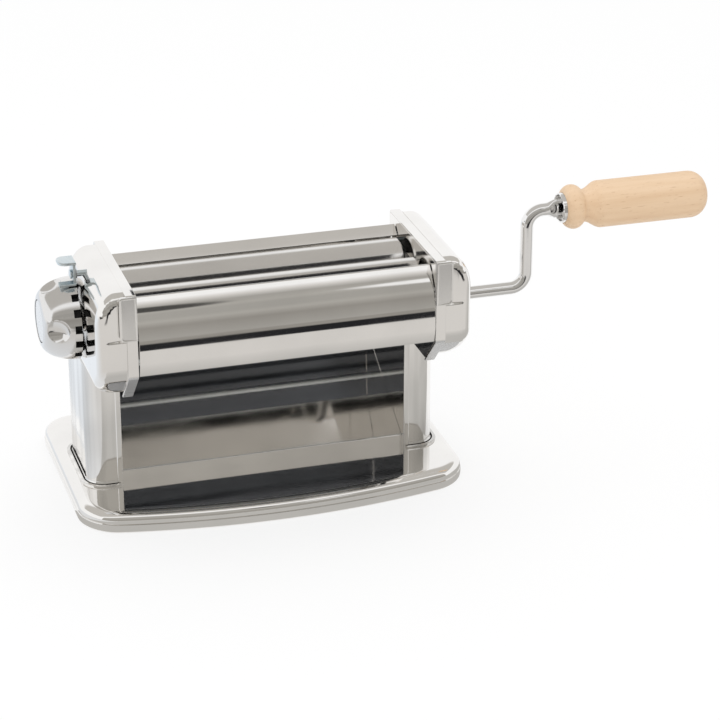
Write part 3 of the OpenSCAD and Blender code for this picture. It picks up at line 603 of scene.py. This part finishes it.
def cap(left):
    crown, under, front_round, wall = (11, 17), (11, 11), 5.5, 1.2
    inside, slant_z = cap_low.x + CLOSE, head_low + hook_cut
    points = [(cap_low.x, cap_low.z)]
    points += arc((cap_high.x - under[0], cap_low.z + under[1]), under, -90, 0, 12)
    points += arc((cap_high.x - crown[0], cap_high.z - crown[1]), crown, 0, 90, 14)
    points.append((cap_low.x, cap_high.z))
    bm = bmesh.new()
    prism(bm, points, "y", front_y, rear_y)
    cut(bm, (0, front_y, slant_z), (0, -1, -1), True)

    def on_slant(spot):
        return abs(spot.y - front_y + spot.z - slant_z) < CLOSE

    def on_front(spot):
        return abs(spot.y - front_y) < CLOSE

    def on_rear(spot):
        return abs(spot.y - rear_y) < CLOSE

    def on_rim(a, b):
        return max(a.x, b.x) > inside and any(side(a) and side(b) for side in (on_slant, on_front, on_rear))

    round_edges(bm, front_round, 6, on_rim)
    for face in bm.faces:
        if all(on_slant(vert.co) for vert in face.verts):
            face.material_index = 1
    open_side = [face for face in bm.faces if all(vert.co.x < inside for vert in face.verts)]
    bmesh.ops.delete(bm, geom=open_side, context="FACES")
    bmesh.ops.recalc_face_normals(bm, faces=bm.faces[:])
    bmesh.ops.solidify(bm, geom=bm.faces[:], thickness=wall)
    # Shallow seat for the tab, which fades out towards the end of the cap
    seat_x, seat_z, depth, border, fade = cap_low.x + 7, cap_high.z - 24.5, 0.9, 1.4, 8
    for share in (-0.5, -0.3, -0.1, 0.1, 0.3, 0.5):
        cut(bm, (0, 0, seat_z + share * border), (0, 0, 1), False)
        cut(bm, (seat_x + share * fade, 0, 0), (1, 0, 0), False)
    for vert in bm.verts:
        if vert.co.y < front_y + 2 * front_round:
            vert.co.y += depth * ease((vert.co.z - seat_z) / border) * ease((seat_x - vert.co.x) / fade)
    if left:
        to_left(bm)
    return bm


for side in SIDES:
    shape = cap(side == "left")
    piece(side + "_cap_shell", shape, "frame", [side + "_cap"], "polished_sheet", SHEET, FOLD)


def screw_heads():
    """Slotted round heads on the ends of both caps."""
    shank, shank_l, radius, rim, rise, slot, slot_depth = 1.6, 2, 3.2, 0.6, 2.4, 0.45, 0.9
    spot, face = middle("cap_screws"), cap_high.x
    inside = face - shank_l
    profile = [(inside, 0), (inside, shank), (face, shank), (face, radius), (face + rim, radius)]
    profile += [(face + x, r) for x, r in arc((rim, 0), (rise - rim, radius), 75, 12, 7)]
    bm = bmesh.new()
    turned(bm, profile + [(face + rise, 0)], spot.y, spot.z, 40)
    for offset in (-slot, slot):
        cut(bm, (0, spot.y + offset, spot.z), (0, 1, 0), False)
    for vert in bm.verts:
        if abs(vert.co.y - spot.y) < slot - CLOSE and vert.co.x > face + 1:
            vert.co.x -= slot_depth
    twin = bm.copy()
    to_left(twin)
    add(bm, twin)
    return bm


piece("cap_screw_heads", screw_heads(), "frame", ["cap_screws"], "zinc_plate", ZINC)


# Covers and chute


def cover(rear):
    """Curved sheet with a lip folded in towards its roller."""
    radius, thick, feed, gap, lip, fold, edge_round = 40, 1.0, 30, 0.35, 5, 1.0, 0.25
    low, high = node_box("front_cover")
    top = Vector((nip_y - feed, high.z))
    foot = Vector((front_y, low.z))
    chord = foot - top
    inward = Vector((-chord.y, chord.x)).normalized()
    hub = (top + foot) / 2 + inward * sqrt(radius ** 2 - (chord.length / 2) ** 2)
    first = degrees(atan2(top.y - hub.y, top.x - hub.x))
    last = first + degrees(2 * asin(chord.length / 2 / radius))
    inside, lip_turn = radius - thick, 1.5
    lip_end = top + Vector((lip, -lip))
    points = arc(hub, (radius, radius), first, last, 40)
    points += arc(hub, (inside, inside), last, first + lip_turn, 40)
    points += [tuple(lip_end - Vector((thick, thick)) / sqrt(2)), tuple(lip_end)]
    bm = bmesh.new()
    prism(bm, points, "x", gap - inner_x, inner_x - gap)
    round_edges(bm, fold, 5, lambda a, b: abs(a.x - b.x) > 1 and hypot(a.y - top.x, a.z - top.y) < CLOSE)
    edges = [edge for edge in bm.edges if len(edge.link_faces) == 2 and edge.calc_face_angle() > radians(60)]
    bmesh.ops.bevel(bm, geom=edges, offset=edge_round, segments=2, profile=0.5, affect="EDGES", material=-1)
    if rear:
        bmesh.ops.scale(bm, vec=(1, -1, 1), verts=bm.verts[:], space=Matrix.Translation((0, -nip_y, 0)))
    return bm


for side in ("front", "rear"):
    piece(side + "_cover_sheet", cover(side == "rear"), "frame", [side + "_cover"], "polished_sheet", SHEET)


def chute():
    """Slope from the base up to the sheet back, with a folded lip in front and a level guard above."""
    low, high = node_box("chute")
    thick, lip, slope, gap, fold_round = 1.0, 6, radians(29), 0.1, 0.5
    back_low = head_low - 16
    foot = Vector((low.y, low.z + lip))
    top = Vector((high.y, foot.y + (high.y - foot.x) * tan(slope)))
    rise = (head_low - back_low) / (high.y - rear_y)
    fold = Vector((-thick, thick * rise - thick * sqrt(1 + rise * rise)))
    points = [
        foot, (foot.x, low.z), (foot.x + thick, low.z), (foot.x + thick, foot.y - thick),
        top + Vector((0, -thick / cos(slope))), (high.y, back_low), (rear_y, head_low), (rear_y, high.z),
        (rear_y - thick, high.z), Vector((rear_y, head_low)) + fold, Vector((high.y, back_low)) + fold,
        top + Vector((-thick, -thick * tan(slope))),
    ]
    folds = [points[index] for index in (0, 3, 4, 5, 6)]

    def at_fold(a, b):
        return abs(a.x - b.x) > 1 and any(hypot(a.y - y, a.z - z) < CLOSE for y, z in folds)

    bm = bmesh.new()
    prism(bm, points, "x", gap - inner_x, inner_x - gap)
    round_edges(bm, fold_round, 4, at_fold)
    # The back is dull inside, and painted dark there: a painted shade for the shade inside the head
    for face in bm.faces:
        spot = face.calc_center_median()
        if spot.z > top.y and face.normal.y < -0.1 and spot.y > rear_y - 2 * thick:
            face.material_index = 1
    guard = bmesh.new()
    guard_low, guard_front = head_low - 5, foot.x + 6
    guard_high = guard_low + thick
    guard_back = rear_y + (head_low - thick / 2 - guard_low) / rise
    outline = [
        (guard_front, guard_low), (guard_back, guard_low), (guard_back - thick / rise, guard_high),
        (guard_front, guard_high),
    ]
    prism(guard, outline, "x", gap - inner_x, inner_x - gap)
    add(bm, guard)
    return bm


piece("chute_sheet", chute(), "frame", ["chute"], "polished_sheet", SHEET, DULL_SHADED_INSIDE)


# Rollers


def roller(axis, node):
    low, high = node_box(node)
    radius, journal, length, chamfer, bevel = 13.5, 5, 150, 0.9, 0.6
    end = length / 2
    profile = [
        (low.x, 0), (low.x, journal - bevel), (low.x + bevel, journal), (-end, journal),
        (-end, radius - chamfer), (chamfer - end, radius), (end - chamfer, radius), (end, radius - chamfer),
        (end, journal),
        (high.x - bevel, journal), (high.x, journal - bevel), (high.x, 0),
    ]
    bm = bmesh.new()
    turned(bm, profile, axis.y, axis.z, 128)
    return bm


for name, axis in (("front_roller", front_axis), ("rear_roller", rear_axis)):
    piece(name + "_barrel", roller(axis, name), name, [name], "roller_steel", ROLLER)


# Knob


def knob():
    """Domed shell with a recessed back, notches round the rim and finger scoops."""
    low, high = node_box("knob_shell")
    back, end = high.x, low.x
    y, z = knob_axis.y, knob_axis.z
    rim, disc, depth, hub_r, disc_hole = 21.5, 11, back - end, 8, 3
    steps, notch_steps, notch, notch_depth, settings, setting = 256, 8, 4, 3.8, 6, 22.5
    step = 360 / steps
    first = pawl_deg - notch_steps / 2 * step
    scoops, scoop_r, scoop_out, scoop_in, scoop_deg = 4, 9, 2.5, 4, 88
    recess, border = 2, 4

    def dome(turn):
        return back - depth * sin(radians(turn)), disc + (rim - disc) * cos(radians(turn))

    recess_x, recess_r = back - recess, rim - border
    profile = [(recess_x, hub_r), (recess_x, recess_r - 0.2), (back - 0.2, recess_r), (back, rim - 0.5)]
    profile += [dome(turn) for turn in (1.5, 4, 8, degrees(asin(notch / depth)))]
    profile += [dome(turn) for turn in arange(14, 78, 1.25)]
    profile += [(end + 0.15, disc + 1.1), (end, disc + 0.6), (end + 0.25, disc + 0.15), (end + 1.2, disc)]
    profile.append((end + 1.4, disc_hole))
    bm = bmesh.new()
    turned(bm, profile + profile[:1], y, z, steps)
    to_first = Matrix.Rotation(radians(first - 90), 3, "X")
    bmesh.ops.rotate(bm, verts=bm.verts[:], cent=(0, y, z), matrix=to_first)

    def reach(spot):
        return hypot(spot.y - y, spot.z - z)

    def in_notch(spot):
        ahead = (degrees(atan2(spot.z - z, spot.y - y)) - first) % 360
        turned_to = any(0 < ahead - setting * index < notch_steps * step for index in range(settings))
        return turned_to and spot.x > back - notch and reach(spot) > rim - 3.4

    # Faces in the recess behind the knob and in the seat under its disc take the near-black painted shade
    sinks = []
    for face in bm.faces:
        spot = face.calc_center_median()
        in_recess = spot.x > back - recess + 0.05 and reach(spot) < rim - 3
        in_disc_seat = spot.x < end + 1.3 and reach(spot) < disc + 0.1
        if in_notch(spot):
            sinks.append(face)
        elif in_recess or in_disc_seat:
            face.material_index = 1
    borders = list({edge for face in sinks for edge in face.edges})
    made = bmesh.ops.extrude_face_region(bm, geom=sinks + borders)["geom"]
    for vert in new_verts(made):
        size = min(1, (rim - notch_depth) / reach(vert.co))
        vert.co.y, vert.co.z = y + (vert.co.y - y) * size, z + (vert.co.z - z) * size
    sunk = {part for part in made if isinstance(part, bmesh.types.BMFace)}
    # Sunk notch faces and the faces beside them take the near-black painted shade
    for face in bm.faces:
        if face in sunk or any(beside in sunk for edge in face.edges for beside in edge.link_faces):
            face.material_index = 1
    for index in range(scoops):
        turn = radians(scoop_deg + 360 / scoops * index)
        out = rim + scoop_out
        hub = Vector((end + scoop_in, y + out * cos(turn), z + out * sin(turn)))
        for vert in bm.verts:
            away = vert.co - hub
            if 0 < away.length < scoop_r:
                vert.co = hub + away * (scoop_r / away.length)
    return bm


piece("knob_dome", knob(), "knob", ["knob_shell"], "chrome_plate", KNOB, BLACK, flat_faces=False)


def knob_end():
    """Slightly domed disc in the end of the knob."""
    low, high = node_box("knob_disc")
    radius, crown, edge = 10.9, 0.35, 0.2
    profile = [(high.x, 0), (high.x, radius), (low.x + crown + edge, radius), (low.x + crown, radius - 0.25)]
    profile += [(low.x + crown * (r / radius) ** 2, r) for r in (9.5, 7.5, 5.0, 2.5, 0)]
    bm = bmesh.new()
    turned(bm, profile, knob_axis.y, knob_axis.z, 96)
    return bm


piece("knob_end_disc", knob_end(), "knob", ["knob_disc"], "disc_metal", DISC)


# Pawl


def pawl():
    """Plate on the pin, with a nose over the knob's rim and a thumb tab."""
    low, high = node_box("pawl")
    pin, plate_x = middle("pawl_pin"), high.x
    thick, eye, nose_half, nose_l, nose_reach = 1.5, 3.4, 1.7, 9, 21.8
    turn = radians(pawl_deg)
    out = Vector((cos(turn), sin(turn)))
    side = Vector((-out.y, out.x)) * nose_half
    nose = Vector((knob_axis.y, knob_axis.z)) + out * nose_reach
    shoulder = high.z - 0.6
    bm = bmesh.new()
    outline = [
        nose - side, nose + side, (pin.y - eye, pin.z + 1), (pin.y - eye, shoulder), (pin.y + eye, shoulder),
        (pin.y + eye, pin.z - 1),
    ]
    prism(bm, outline, "x", plate_x - thick, plate_x)
    round_edges(bm, 0.8, 3, lambda a, b: abs(a.x - b.x) > 1)
    round_edges(bm, 0.25, 2, lambda a, b: abs(a.x - b.x) < MERGE)
    tongue = bmesh.new()
    outline = [nose - side, nose + side, nose + side + out * thick, nose - side + out * thick]
    prism(tongue, outline, "x", plate_x - nose_l, plate_x)
    round_edges(tongue, 0.4, 3, lambda a, b: True)
    add(bm, tongue)
    thumb = bmesh.new()
    outline = [(low.x, low.y), (plate_x, low.y), (plate_x, high.y), (low.x, high.y)]
    prism(thumb, outline, "z", high.z - thick, high.z)
    round_edges(thumb, 4, 8, lambda a, b: abs(a.z - b.z) > 1 and a.x < low.x + 1)
    round_edges(thumb, 0.5, 3, lambda a, b: abs(a.z - b.z) < MERGE)
    add(bm, thumb)
    return bm


piece("pawl_lever", pawl(), "pawl", ["pawl"], "zinc_plate", ZINC)


# Crank and grip


def drawn(bm, ring, vec, squeeze=(1, 1), hub=None):
    """Draws a ring of edges on by a step, and can squeeze it across and up about its middle."""
    made = bmesh.ops.extrude_edge_only(bm, edges=ring)["geom"]
    verts = new_verts(made)
    bmesh.ops.translate(bm, verts=verts, vec=vec)
    if hub:
        bmesh.ops.scale(bm, verts=verts, vec=(1, squeeze[0], squeeze[1]), space=Matrix.Translation(-hub))
    return new_edges(made)


def ring_verts(ring):
    return list({vert for edge in ring for vert in edge.verts})


def bent(bm, ring, hub, angle):
    """Bends a ring of edges about an axis along Y."""
    made = bmesh.ops.spin(bm, geom=ring_verts(ring) + ring, cent=hub, axis=(0, 1, 0), angle=angle, steps=14)
    return new_edges(made["geom_last"])


def crank():
    """Round bar from its square end, through two bends and pinched ears, to the grip's spindle."""
    low, high = node_box("crank_bar")
    radius, bend, square, spindle, chamfer = 3.5, 8.5, 5, 2.5, 0.8
    y, z, handle_z = crank_axis.y, crank_axis.z, grip_axis.z
    grip_x = node_box("grip")[0].x
    arm_x, bar_x, ears_x = grip_x - 19, cap_high.x + 5, grip_x - 8.2
    bm = bmesh.new()
    spot = Matrix.Translation((bar_x + chamfer, y, z)) @ Matrix.Rotation(pi / 2, 4, "Y")
    circle = bmesh.ops.create_circle(bm, cap_ends=False, segments=40, radius=radius, matrix=spot)
    ring = list({edge for vert in circle["verts"] for edge in vert.link_edges})
    bmesh.ops.holes_fill(bm, edges=drawn(bm, ring, (-chamfer, 0, 0), (0.8, 0.8), Vector((0, y, z))))
    ring = drawn(bm, ring, (arm_x - bend - bar_x - chamfer, 0, 0))
    ring = bent(bm, ring, (arm_x - bend, y, z + bend), -pi / 2)
    ring = drawn(bm, ring, (0, 0, handle_z - z - 2 * bend))
    ring = bent(bm, ring, (arm_x + bend, y, handle_z - bend), pi / 2)
    ring = drawn(bm, ring, (ears_x - arm_x - bend, 0, 0))
    hub = Vector((0, y, handle_z))
    ears = (
        (1.6, (0.82, 1.18)), (1.6, (0.75, 1.15)), (1.2, (0.85, 1.1)), (0.8, (1.0, 1.02)), (0.5, (1.3, 0.9)),
        (0.5, (1.3, 0.78)),
    )
    for step, squeeze in ears:
        ring = drawn(bm, ring, (step, 0, 0), squeeze, hub)
    verts = ring_verts(ring)
    for vert in verts:
        size = spindle / hypot(vert.co.y - y, vert.co.z - handle_z)
        vert.co.y, vert.co.z = y + (vert.co.y - y) * size, handle_z + (vert.co.z - handle_z) * size
    ring = drawn(bm, ring, (high.x - verts[0].co.x, 0, 0))
    bmesh.ops.holes_fill(bm, edges=ring)
    tang = bmesh.new()
    half = square / 2
    outline = [(y - half, z - half), (y + half, z - half), (y + half, z + half), (y - half, z + half)]
    prism(tang, outline, "x", low.x, bar_x + chamfer / 2)
    round_edges(tang, 0.4, 2, lambda a, b: True)
    add(bm, tang)
    return bm


piece("crank_rod", crank(), "crank", ["crank_bar"], "chrome_plate", BRIGHT)


def grip():
    """Turned handle: a bead, a cove that swells to the body, and a round end with the rivet's recess."""
    low, high = node_box("grip")
    x, end, length, radius = low.x, high.x, high.x - low.x, 12.5
    bore, cup, cup_depth, neck, bead, bead_x = 2.6, 8.1, 4, 8.7, 5.5, 6
    cove_start, cove_end, cove_steps, end_round = 12, 21, 12, 9
    recess, recess_depth = 4.3, 1.8
    profile = [(x + cup_depth, bore), (x + cup_depth, cup), (x + 0.8, cup)]
    profile += [(x + a, r) for r, a in arc((radius - 0.7 - bead, bead_x), (bead, bead), -55, 58, 14)]
    for index in range(cove_steps + 1):
        share = index / cove_steps
        swell = (1 - cos(pi * share)) / 2
        profile.append((x + cove_start + (cove_end - cove_start) * share, neck + (radius - neck) * swell))
    profile.append((x + cove_end + 0.5, radius))
    tip = (radius - end_round, length - end_round)
    profile += [(x + a, r) for r, a in arc(tip, (end_round, end_round), 0, 75, 14)]
    recess_x = end - recess_depth
    profile += [(end, recess + 0.3), (end - 0.3, recess), (recess_x, recess), (recess_x, bore)]
    bm = bmesh.new()
    turned(bm, profile + profile[:1], grip_axis.y, grip_axis.z, 96)
    return bm


piece("turned_grip", grip(), "grip", ["grip"], "beech", WOOD, flat_faces=False)


def cup():
    """Steel cup in the end of the grip."""
    low, high = node_box("grip_ferrule")
    outer, wall, bore, edge = 8, 1, 2.6, 0.4
    inside, floor = outer - wall, high.x - wall
    profile = [
        (high.x, bore), (high.x, outer), (low.x + edge, outer), (low.x, outer - edge), (low.x, inside + 0.3),
        (low.x + 0.3, inside), (floor, inside - 0.2), (floor, bore),
    ]
    bm = bmesh.new()
    turned(bm, profile + profile[:1], grip_axis.y, grip_axis.z, 80)
    return bm


piece("grip_cup", cup(), "grip", ["grip_ferrule"], "chrome_plate", BRIGHT)


# Finishes of the CAD nodes that are kept

CAD_FINISHES = {
    SHEET: ("left_plate", "right_plate"),
    ROD: ("tie_rods",),
    ZINC: ("carriage_bar", "pillar_screws", "pillar_nuts", "tie_nuts", "pawl_pin"),
    BRONZE: ("front_bushes", "input_bush", "knob_bush"),
    GEAR: ("drive_gear", "reduction_gear", "input_pinion", "input_clip", "rear_gear"),
    CAST: ("left_block", "right_block"),
    SPRING: ("front_scraper", "rear_scraper", "pawl_spring"),
    BRIGHT: ("drive_socket", "knob_shaft", "crank_rivet"),
}
for finish, nodes in CAD_FINISHES.items():
    for name in nodes:
        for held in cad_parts[name].material_slots:
            held.material = finish


# Floor, surroundings, light and camera, in metres

WHITE = (1, 1, 1, 1)
NEAR = (0.70, 0.68, 0.655, 1)
SHADED = (0.52, 0.51, 0.49, 1)
CEILING = (0.55, 0.53, 0.50, 1)
MID = (0.45, 0.435, 0.405, 1)
DIM = (0.40, 0.388, 0.362, 1)
LOW = (0.32, 0.305, 0.28, 1)
STREAK = (0.07, 0.068, 0.065, 1)
DARK = (0.02, 0.02, 0.022, 1)
PALE_BLUE = (0.87, 0.915, 0.97, 1)
# Half the floor's width, the room's wall, its height, and how far a card lies over the floor
reach, far, wall_top, skim = 4, -2.0, 3.1, 0.001
# Share of the floor that glows for the camera, and the light of the surroundings on matt surfaces
floor_glow, matt_light = 0.75, 0.92
scene = bpy.context.scene


def seen(finish):
    """1 for rays from the camera, from mirrors and through glass."""
    camera, mirror, glass = [
        finish.node("ShaderNodeLightPath", output=ray)
        for ray in ("Is Camera Ray", "Is Glossy Ray", "Is Transmission Ray")
    ]
    settings = {"operation": "ADD", "use_clamp": True}
    return finish.node("ShaderNodeMath", settings, {0: camera + mirror, 1: glass})


def floor_material():
    """White sweep that keeps a soft shadow."""
    finish = new_finish("pale_floor")
    matt = finish.node("ShaderNodeBsdfDiffuse", None, {"Color": (0.92, 0.92, 0.92, 1)})
    links = {0: seen(finish) * floor_glow, 1: matt, 2: finish.glow(WHITE)}
    return finish.ending(finish.node("ShaderNodeMixShader", None, links))


def room_material(name, axis, low, high, stops, spots=()):
    """Colours that the polished metal mirrors, by place along one axis, with soft spots."""
    finish = new_finish(name)
    where = finish.node("ShaderNodeTexCoord", output="Object")
    part = finish.node("ShaderNodeSeparateXYZ", None, {"Vector": where}, axis)
    share = finish.node("ShaderNodeMapRange", None, {"Value": part, "From Min": low, "From Max": high})
    colour = finish.steps(share, *stops)
    for centre, size, tone in spots:
        away = finish.node("ShaderNodeVectorMath", {"operation": "SUBTRACT"}, {0: where, 1: centre})
        away = finish.node("ShaderNodeVectorMath", {"operation": "DIVIDE"}, {0: away, 1: size})
        away = finish.node("ShaderNodeVectorMath", {"operation": "LENGTH"}, {0: away}, "Value")
        colour = finish.mix(finish.steps(away, (0.7, 1.0), (1.0, 0.0)), colour, tone)
    return finish.ending(finish.glow(colour))


def flat(x0, x1, y0, y1, z):
    return [(x0, y0, z), (x1, y0, z), (x1, y1, z), (x0, y1, z)]


def upright(x0, x1, y, z0, z1):
    return [(x0, y, z0), (x1, y, z0), (x1, y, z1), (x0, y, z1)]


def stage_plane(name, corners, material):
    mesh = bpy.data.meshes.new(name)
    bm = bmesh.new()
    bm.faces.new([bm.verts.new(corner) for corner in corners])
    bm.to_mesh(mesh)
    bm.free()
    mesh.materials.append(material)
    made = bpy.data.objects.new(name, mesh)
    scene.collection.objects.link(made)
    return made


def mirrored_card(name, corners, material):
    """A plane that shows only in mirrors."""
    card = stage_plane(name, corners, material)
    card.visible_camera = False
    card.visible_diffuse = False
    card.visible_shadow = False
    card.visible_transmission = False


stage_plane("floor", flat(-reach, reach, -reach, reach, 0), floor_material())
table = room_material(
    "table_mirrored", "Y", -1.0, 0.0,
    ((0.0, LOW), (0.10, LOW), (0.23, DARK), (0.575, DARK), (0.60, NEAR), (0.80, NEAR), (0.88, SHADED),
     (1.0, SHADED)),
    [((-0.62, -0.55, skim), (0.60, 0.5, 1), NEAR), ((0.95, -0.55, skim), (0.70, 0.5, 1), NEAR)],
)
mirrored_card("table_card", flat(-reach, reach, far, -0.03, skim), table)
side_table = room_material("side_mirrored", "Y", -0.35, 0.15, ((0.0, NEAR), (0.3, NEAR), (1.0, PALE_BLUE)))
mirrored_card("side_card", flat(-1.2, -0.11, -0.35, 1.5, 2 * skim), side_table)
room = room_material(
    "room_mirrored", "Z", 0, wall_top,
    ((0.0, DIM), (0.20, LOW), (0.30, MID), (0.36, DIM), (0.46, DIM), (0.52, MID), (0.66, DIM), (0.80, NEAR),
     (0.95, WHITE)),
    [((0.93, far, 1.66), (0.25, 1, 0.22), WHITE), ((0.42, far, 1.85), (0.13, 1, 0.26), STREAK)],
)
mirrored_card("room_card", upright(-reach, reach, far, 0, wall_top), room)
nip = room_material("nip_mirrored", "X", -1, 1, ((0.0, DARK), (1.0, DARK)))
mirrored_card("nip_card", flat(-0.074, 0.076, -0.061, -0.045, 0.15), nip)
ceiling_stops = ((0.0, WHITE), (0.05, CEILING), (0.85, CEILING), (1.0, WHITE))
ceiling = room_material("ceiling_mirrored", "Y", -1.3, 3.6, ceiling_stops)
mirrored_card("ceiling_card", flat(-reach, reach, -1.3, 3.6, 2.6), ceiling)


def turn_to(direction):
    """Turn of a lamp or a camera that faces a direction."""
    return direction.to_track_quat("-Z", "Y").to_euler()


def lamp(name, spot, aim, size, power):
    light = bpy.data.lights.new(name, "AREA")
    light.shape = "RECTANGLE"
    light.size, light.size_y = size
    light.energy = power
    made = bpy.data.objects.new(name, light)
    scene.collection.objects.link(made)
    made.visible_glossy = False
    made.location = spot
    made.rotation_euler = turn_to(Vector(aim) - Vector(spot))


lamp("soft_top", (0.1, 0.1, 1.5), (0, 0, 0.05), (1.6, 1.2), 5)
lamp("soft_front", (-0.9, -1.2, 0.9), (0, 0, 0.08), (0.8, 0.8), 3)

sky = Finish(bpy.data.worlds.new("white_studio"), "ShaderNodeOutputWorld")
strength = matt_light + (1 - matt_light) * seen(sky)
scene.world = sky.ending(sky.node("ShaderNodeBackground", None, {"Color": WHITE, "Strength": strength}))
scene.view_settings.view_transform = "Standard"

# Camera at the photograph's viewing angle
lens = bpy.data.cameras.new("camera")
lens.lens, lens.sensor_width = 132.15, 36
eye = bpy.data.objects.new("camera", lens)
scene.collection.objects.link(eye)
azimuth, elevation = radians(16.7206), radians(23.7997)
eye.location = (-0.31774, -1.26017, 0.63416)
eye.rotation_euler = turn_to(
    Vector((sin(azimuth) * cos(elevation), cos(azimuth) * cos(elevation), -sin(elevation)))
)
scene.camera = eye
